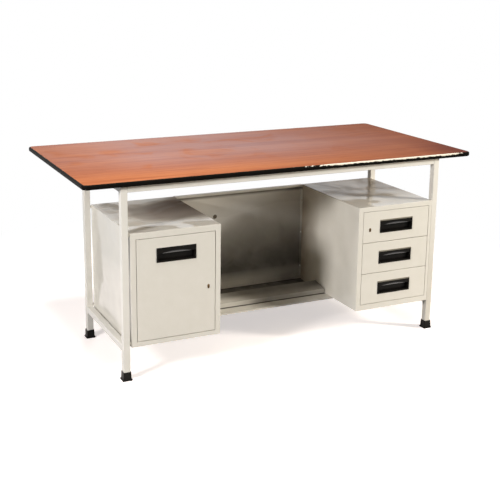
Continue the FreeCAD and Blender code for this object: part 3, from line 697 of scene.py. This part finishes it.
@dataclass(frozen=True)
class CrossHeadScrews:
    """Pan-head screws with cross recesses, in place of a node of plain ones."""

    node: str
    sides: int = 24
    head_mm: tuple[float, float] = (4.0, 2.5)
    rim_mm: float = 0.6
    flat_mm: float = 2.1
    shank_mm: float = 1.95
    root_mm: float = 1.55
    pitch_mm: float = 1.4
    # The share of a pitch at which the thread starts to rise from its root.
    flank_share: float = 0.6
    # The cross's reach, half its arms' width and its depth, and its floor's size as a share of its mouth's.
    recess_mm: tuple[float, float, float] = (1.75, 0.45, 1.1)
    recess_taper: float = 0.75
    dome_steps: int = 5
    # Points of the plain screws that are closer than this count as level or as one.
    near_mm: float = 0.01

    def seats(self) -> Iterator[tuple[Vector, Vector]]:
        """Finds where the plain screws stand.

        Yields:
            Each screw's tip, and the arrow from it to the head's crown.
        """
        plain = bmesh.new()
        plain.from_mesh(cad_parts[self.node].data)
        bmesh.ops.remove_doubles(plain, verts=plain.verts, dist=self.near_mm * MM)
        waiting = set(plain.verts)
        while waiting:
            reached = [waiting.pop()]
            for vert in reached:
                near = {edge.other_vert(vert) for edge in vert.link_edges} & waiting
                waiting -= near
                reached.extend(near)
            low, high = (Vector([pick(v.co[i] for v in reached) for i in (X, Y, Z)]) for pick in (min, max))
            axis = longest(low, high)
            middle = (low + high) / 2
            spread = {}
            for end in (low.freeze(), high.freeze()):
                rim = [v.co for v in reached if abs(v.co[axis] - end[axis]) < self.near_mm * MM]
                spread[end] = max((point - middle).length for point in rim)
            crown, tip = sorted(spread, key=spread.get, reverse=True)
            start, arrow = middle.copy(), Vector((0, 0, 0))
            start[axis] = tip[axis]
            arrow[axis] = crown[axis] - tip[axis]
            yield start, arrow
        plain.free()

    def profile(self, length_mm: float) -> Iterator[tuple[float, float]]:
        """Draws the screw's outline, from its tip to the flat of its crown.

        Args:
            length_mm: The screw's whole length.

        Yields:
            A radius and a height in mm.
        """
        head_radius, head_height = self.head_mm
        seat = length_mm - head_height
        yield self.root_mm / 2, 0.0
        turns = int((seat - self.pitch_mm) / self.pitch_mm)
        for turn in range(turns):
            yield self.root_mm, (turn + self.flank_share) * self.pitch_mm
            yield self.shank_mm, (turn + 1.0) * self.pitch_mm
        yield self.shank_mm, seat
        yield head_radius, seat
        for step in range(self.dome_steps + 1):
            turn = math.pi / 2 * step / self.dome_steps
            yield (self.flat_mm + (head_radius - self.flat_mm) * math.cos(turn),
                   seat + self.rim_mm + (head_height - self.rim_mm) * math.sin(turn))

    def add_screw(self, made: bmesh.types.BMesh, tip: Vector, arrow: Vector) -> None:
        """Adds one screw.

        Args:
            made: The mesh that takes it.
            tip: Its tip.
            arrow: From its tip to its crown.
        """
        turn = arrow.to_track_quat("Z", "Y")
        length_mm = arrow.length / MM
        rings = [[tip + turn @ (Vector((r * math.cos(a), r * math.sin(a), h)) * MM)
                  for a in spokes(self.sides)] for r, h in self.profile(length_mm)]
        skin = add_rings(made, rings)
        made.faces.new(reversed(skin[0]))
        reach, half, depth = self.recess_mm
        cross = [Matrix.Rotation(math.pi / 2 * i, 3, "Z") @ Vector(corner) for i in range(4)
                 for corner in ((reach, -half, 0), (reach, half, 0), (half, half, 0))]
        walls = [[tip + turn @ ((point * share + Vector((0, 0, length_mm - drop))) * MM) for point in cross]
                 for share, drop in ((1.0, 0.0), (self.recess_taper, depth))]
        recess = add_rings(made, walls)
        made.faces.new(recess[1])
        rims = [made.edges.get((loop[i - 1], loop[i])) for loop in (skin[-1], recess[0])
                for i in range(len(loop))]
        bmesh.ops.triangle_fill(made, use_beauty=True, edges=rims)

    def build(self) -> None:
        """Makes the screws as one piece."""
        made = bmesh.new()
        for tip, arrow in self.seats():
            self.add_screw(made, tip, arrow)
        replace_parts(add_piece(self.node + "_cross_head", made, ZINC, Body.FRAME), self.node)


@dataclass(frozen=True)
class FingerLip:
    """A smooth swelling along the lower edge of a handle cup's hood, where the fingers pull."""

    cup: str
    body: Body
    drop_mm: float = 21.3
    setback_mm: float = 1.2
    length_mm: float = 116.0
    height_mm: float = 6.4
    swell_mm: float = 1.1
    sunk_mm: float = 0.6
    # The lens is cut a little short of its points.
    cut_share: float = 0.98
    steps: int = 40
    sides: int = 16

    def build(self) -> None:
        """Makes the lip as a lens, thickest in the middle."""
        low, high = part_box(self.cup)
        middle, face = (low[X] + high[X]) / 2, low[Y] + self.setback_mm * MM
        foot = high[Z] - self.drop_mm * MM
        rings = []
        for step in range(self.steps + 1):
            along = self.cut_share * (2 * step / self.steps - 1)
            share = 1 - along * along
            half_height = self.height_mm / 2 * share * MM
            ring = []
            for turn in spokes(self.sides):
                depth = self.swell_mm * share if math.cos(turn) > 0 else self.sunk_mm
                ring.append(Vector((middle + along * self.length_mm / 2 * MM,
                                    face - depth * math.cos(turn) * MM,
                                    foot + half_height * (1 + math.sin(turn)))))
            rings.append(ring)
        made = bmesh.new()
        add_rings(made, rings, capped=True)
        add_piece(self.cup + "_finger_lip", made, LIP_PLASTIC, self.body)


@dataclass
class Tabletop:
    """The laminated board, its black edging and the screws under it."""

    screws: CrossHeadScrews = CrossHeadScrews("tabletop_screws")

    def build(self) -> None:
        """Makes the screws that hold the board down."""
        self.screws.build()

    def dress(self) -> None:
        """Finishes the board, its laminate and the edging."""
        dress(["tabletop_board"], BOARD)
        dress(["tabletop_laminate"], LAMINATE)
        dress(["tabletop_edging"], EDGING)


@dataclass
class TubeFrame:
    """The welded frame of square tube on plastic shoes."""

    corners: tuple[str, ...] = ("front_left", "front_right", "rear_left", "rear_right")
    top_rails: tuple[str, ...] = ("front_rail", "rear_rail", "left_rail", "right_rail")
    lower_rails: tuple[str, ...] = ("left_lower_rail", "right_lower_rail")
    bead_mm: float = 1.9
    ripple_mm: float = 2.6
    ripple_share: float = 0.1
    # The lower this power, the blunter the bead's ends.
    end_power: float = 0.3
    bead_sides: int = 10
    steps_per_ripple: int = 5

    def joints(self) -> Iterator[tuple[Vector, Vector]]:
        """Finds the weld beads: under every rail's ends, and over the lower rails' ends.

        Yields:
            The two ends of each bead.
        """
        for rail in self.top_rails + self.lower_rails:
            low, high = (Vector(corner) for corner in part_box(rail))
            along = longest(low, high)
            across = Y if along == X else X
            for level in (low.z, high.z) if rail in self.lower_rails else (low.z,):
                for end in (low[along], high[along]):
                    bead = [Vector((0, 0, level)), Vector((0, 0, level))]
                    for point, side in zip(bead, (low[across], high[across])):
                        point[along], point[across] = end, side
                    yield bead[0], bead[1]

    def build(self) -> None:
        """Makes the weld beads as one rippled piece."""
        made = bmesh.new()
        for start, end in self.joints():
            ripples = round((end - start).length / (self.ripple_mm * MM))
            count = ripples * self.steps_per_ripple
            turn = (end - start).to_track_quat("Z", "Y")
            rings = []
            for step in range(count + 1):
                share = (step + 0.5) / (count + 1)
                swell = math.sin(math.pi * share) ** self.end_power
                ripple = 1 - self.ripple_share * math.cos(math.tau * ripples * share)
                radius = self.bead_mm * MM * swell * ripple
                rings.append([start.lerp(end, share) + turn @ Vector((math.cos(a), math.sin(a), 0)) * radius
                              for a in spokes(self.bead_sides)])
            add_rings(made, rings, capped=True)
        add_piece("frame_weld_beads", made, TUBE_ENAMEL, Body.FRAME)

    def dress(self) -> None:
        """Finishes the tubes and the shoes."""
        dress(["leg_" + corner for corner in self.corners], TUBE_ENAMEL)
        dress(self.top_rails + self.lower_rails, TUBE_ENAMEL)
        dress(["shoe_" + corner for corner in self.corners], SHOE_PLASTIC)


@dataclass
class Cupboard:
    """The left pedestal with its hinged door."""

    lip: FingerLip = FingerLip("door_handle_cup", Body.DOOR)

    def build(self) -> None:
        """Makes the lip of the door's handle cup."""
        self.lip.build()

    def dress(self) -> None:
        """Finishes the sheet body, the shelf, the door and its fittings."""
        dress(["cupboard_wrap"], CUPBOARD_ENAMEL)
        dress(["cupboard_back", "cupboard_base", "cupboard_shelf"], SHEET_ENAMEL)
        dress(["cupboard_front_frame", "cupboard_spacers", "shelf_supports", "door_panel"], FRONT_ENAMEL)
        dress(["door_handle_cup"], CUP_PLASTIC)
        dress(["door_hinge_pins", "door_lock_case"], ZINC)
        dress(["door_keyhole_plate", "door_lock_bolt"], BRASS)


@dataclass
class DrawerUnit:
    """The right pedestal with its three drawers."""

    drawers: tuple[Body, ...] = (Body.TOP_DRAWER, Body.MIDDLE_DRAWER, Body.BOTTOM_DRAWER)
    # The flange along the top of a drawer's cup, and the border below it where its painted highlight ends.
    flange_mm: float = 5.5
    border_mm: float = 1.0
    painted_highlight: str = "#7A756A"
    raggedness: float = 0.12

    def cup_plastic(self, drawer: Body) -> PaintedHighlightPlastic:
        """Chooses the plastic of a drawer's cup, with a pale painted highlight on its upper flange.

        Args:
            drawer: The drawer.

        Returns:
            The plastic.
        """
        low_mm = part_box(drawer.value + "_handle_cup")[1][Z] / MM - self.flange_mm
        return PaintedHighlightPlastic("moulded_abs_cup_of_" + drawer.value, specular=CUP_PLASTIC.specular,
                             painted_highlight=self.painted_highlight, raggedness=self.raggedness,
                             painted_highlight_limits=((Z, low_mm, low_mm + self.border_mm),))

    def build(self) -> None:
        """Makes the lips of the drawers' handle cups."""
        for drawer in self.drawers:
            FingerLip(drawer.value + "_handle_cup", drawer).build()

    def dress(self) -> None:
        """Finishes the sheet body, the runners, the drawers and the lock."""
        dress(["drawer_unit_wrap"], DRAWER_UNIT_ENAMEL)
        dress(["drawer_unit_back", "drawer_unit_base"], SHEET_ENAMEL)
        dress(["drawer_unit_front_frame"], FRONT_ENAMEL)
        dress(["drawer_runners_left", "drawer_runners_right", "drawer_lock_case"], ZINC)
        dress(["drawer_keyhole_plate", "drawer_lock_bolt"], BRASS)
        for drawer in self.drawers:
            dress([drawer.value + "_front", drawer.value + "_tray"], FRONT_ENAMEL)
            dress([drawer.value + "_handle_cup"], self.cup_plastic(drawer))
            dress([drawer.value + "_slides"], ZINC)


@dataclass
class Kneehole:
    """The modesty panel, the base tray and the footrest."""

    screws: tuple[CrossHeadScrews, ...] = (CrossHeadScrews("modesty_screws"), CrossHeadScrews("tray_screws"))

    def build(self) -> None:
        """Makes the screws that hold the panel and the tray."""
        for group in self.screws:
            group.build()

    def dress(self) -> None:
        """Finishes the panel, the tray, the footrest and the plug."""
        dress(["modesty_panel", "base_tray", "footrest"], KNEEHOLE_ENAMEL)
        dress(["modesty_plug"], PLUG_PLASTIC)


@dataclass(frozen=True)
class SoftLamp:
    """A softbox that points at a place on the desk."""

    name: str
    at: tuple[float, float, float]
    aim: tuple[float, float, float]
    size: tuple[float, float]
    watts: float
    colour: str = "#FFFFFF"
    mirrored: bool = True

    def build(self) -> None:
        """Hangs the lamp."""
        data = bpy.data.lights.new(self.name, "AREA")
        data.shape = "RECTANGLE"
        data.size, data.size_y = self.size
        data.energy = self.watts
        data.color = linear(self.colour)[:3]
        lamp = bpy.data.objects.new(self.name, data)
        lamp.location = self.at
        lamp.visible_glossy = self.mirrored
        lamp.rotation_euler = (Vector(self.aim) - Vector(self.at)).to_track_quat("-Z", "Y").to_euler()
        bpy.context.scene.collection.objects.link(lamp)


@dataclass
class Studio:
    """The floor, the light and the camera."""

    ambient: float = 0.015
    floor_half: float = 14.0
    floor_colour: str = "#F2ECEA"
    # The floor throws no light back up at the desk.
    floor_bounce: str = "#000000"
    floor_glow: float = 0.56
    # The distances from the desk's middle, in metres, between which the floor fades to plain white.
    fade_from: float = 1.05
    fade_to: float = 1.9
    lamps: tuple[SoftLamp, ...] = (
        SoftLamp("left_softbox", (-3.28, -1.56, 1.69), (0.0, -0.1, 0.45), (0.6, 0.6), 113.0, "#FFFCF9"),
        SoftLamp("high_softbox", (-0.9, -0.6, 3.7), (0.0, -0.1, 0.45), (0.7, 0.7), 126.0, "#FFFDFA"),
        SoftLamp("far_right_softbox", (4.4, -3.1, 2.3), (0.2, -0.3, 0.5), (0.7, 0.7), 268.0, "#FFFBF3",
                 mirrored=False),
        SoftLamp("right_softbox", (3.0, -2.2, 1.0), (0.4, -0.3, 0.4), (0.7, 0.7), 50.0, "#FFF3DE",
                 mirrored=False),
        SoftLamp("rear_softbox", (0.9, 3.4, 0.6), (0.0, 0.1, 0.45), (0.6, 0.6), 80.0, mirrored=False),
    )
    image_px: float = 500.0
    focal_px: float = 962.6
    centre_px: tuple[float, float] = (232.5, 199.1)
    camera_at: tuple[float, float, float] = (-1.7048, -3.5011, 1.4824)
    azimuth_deg: float = -25.0045
    elevation_deg: float = 13.6368
    roll_deg: float = 0.5148
    sensor_mm: float = 36.0

    def build_floor(self) -> None:
        """Lays the pale floor, which shows as white apart from the desk's shadow."""
        half = self.floor_half
        mesh = bpy.data.meshes.new("floor")
        corners = [(-half, -half, 0), (half, -half, 0), (half, half, 0), (-half, half, 0)]
        mesh.from_pydata(corners, [], [(0, 1, 2, 3)])
        floor = bpy.data.objects.new("floor", mesh)
        bpy.context.scene.collection.objects.link(floor)
        made = bpy.data.materials.new("matt_white_floor_paint")
        made.use_nodes = True
        tree = made.node_tree
        tree.nodes.clear()
        place = add_node(tree, "ShaderNodeTexCoord").outputs["Object"]
        reach = add_node(tree, "ShaderNodeVectorMath", {0: place}, operation="LENGTH")
        fade = add_node(tree, "ShaderNodeMapRange", {"Value": reach.outputs["Value"],
                                                     "From Min": self.fade_from, "From Max": self.fade_to},
                        interpolation_type="SMOOTHSTEP")
        paint = add_node(tree, "ShaderNodeBsdfDiffuse", {"Color": linear(self.floor_colour)})
        bounce = add_node(tree, "ShaderNodeBsdfDiffuse", {"Color": linear(self.floor_bounce)})
        glow = add_node(tree, "ShaderNodeEmission", {"Color": linear(self.floor_colour),
                                                     "Strength": self.floor_glow})
        white = add_node(tree, "ShaderNodeEmission", {"Strength": 1.0})
        near = add_node(tree, "ShaderNodeAddShader", {0: paint.outputs[0], 1: glow.outputs[0]})
        shown = add_node(tree, "ShaderNodeMixShader", {0: fade.outputs["Result"], 1: near.outputs[0],
                                                       2: white.outputs[0]})
        mixed = add_node(tree, "ShaderNodeMixShader", {0: self.seen(tree), 1: bounce.outputs[0],
                                                       2: shown.outputs[0]})
        add_node(tree, "ShaderNodeOutputMaterial", {"Surface": mixed.outputs[0]})
        mesh.materials.append(made)

    def seen(self, tree: Tree) -> Socket:
        """Adds a switch that is 1 for camera, glossy and transmission rays.

        Args:
            tree: The node tree that takes the switch.

        Returns:
            The switch's output.
        """
        path = add_node(tree, "ShaderNodeLightPath").outputs
        bright = add_node(tree, "ShaderNodeMath", {0: path["Is Camera Ray"], 1: path["Is Glossy Ray"]},
                          operation="MAXIMUM")
        return add_node(tree, "ShaderNodeMath", {0: bright.outputs[0], 1: path["Is Transmission Ray"]},
                        operation="MAXIMUM").outputs[0]

    def build_world(self) -> None:
        """Makes the surroundings: dim as a light, white where they are seen."""
        world = bpy.data.worlds.new("studio")
        world.use_nodes = True
        tree = world.node_tree
        tree.nodes.clear()
        level = add_node(tree, "ShaderNodeMapRange", {"Value": self.seen(tree), "To Min": self.ambient,
                                                      "To Max": 1.0})
        sky = add_node(tree, "ShaderNodeBackground", {"Color": (1.0, 1.0, 1.0, 1.0),
                                                      "Strength": level.outputs["Result"]})
        add_node(tree, "ShaderNodeOutputWorld", {"Surface": sky.outputs[0]})
        bpy.context.scene.world = world

    def build_camera(self) -> None:
        """Sets the camera where the desk is seen from."""
        data = bpy.data.cameras.new("camera")
        data.sensor_width = self.sensor_mm
        data.lens = self.focal_px / self.image_px * self.sensor_mm
        data.shift_x = 0.5 - self.centre_px[0] / self.image_px
        data.shift_y = self.centre_px[1] / self.image_px - 0.5
        data.dof.use_dof = False
        azimuth, elevation = math.radians(self.azimuth_deg), math.radians(self.elevation_deg)
        turn = (Matrix.Rotation(azimuth, 4, "Z") @ Matrix.Rotation(math.pi / 2 - elevation, 4, "X")
                @ Matrix.Rotation(math.radians(self.roll_deg), 4, "Z"))
        camera = bpy.data.objects.new("camera", data)
        camera.matrix_world = Matrix.Translation(self.camera_at) @ turn
        bpy.context.scene.collection.objects.link(camera)
        bpy.context.scene.camera = camera

    def build(self) -> None:
        """Sets up the whole studio."""
        self.build_floor()
        self.build_world()
        for lamp in self.lamps:
            lamp.build()
        self.build_camera()
        bpy.context.scene.view_settings.view_transform = "Standard"


def main() -> None:
    """Builds and dresses the desk, then sets up the studio."""
    logging.basicConfig(level=logging.INFO, format="%(message)s")
    for part in (Tabletop(), TubeFrame(), Cupboard(), DrawerUnit(), Kneehole()):
        part.build()
        part.dress()
    Studio().build()


if __name__ == "__main__":
    main()
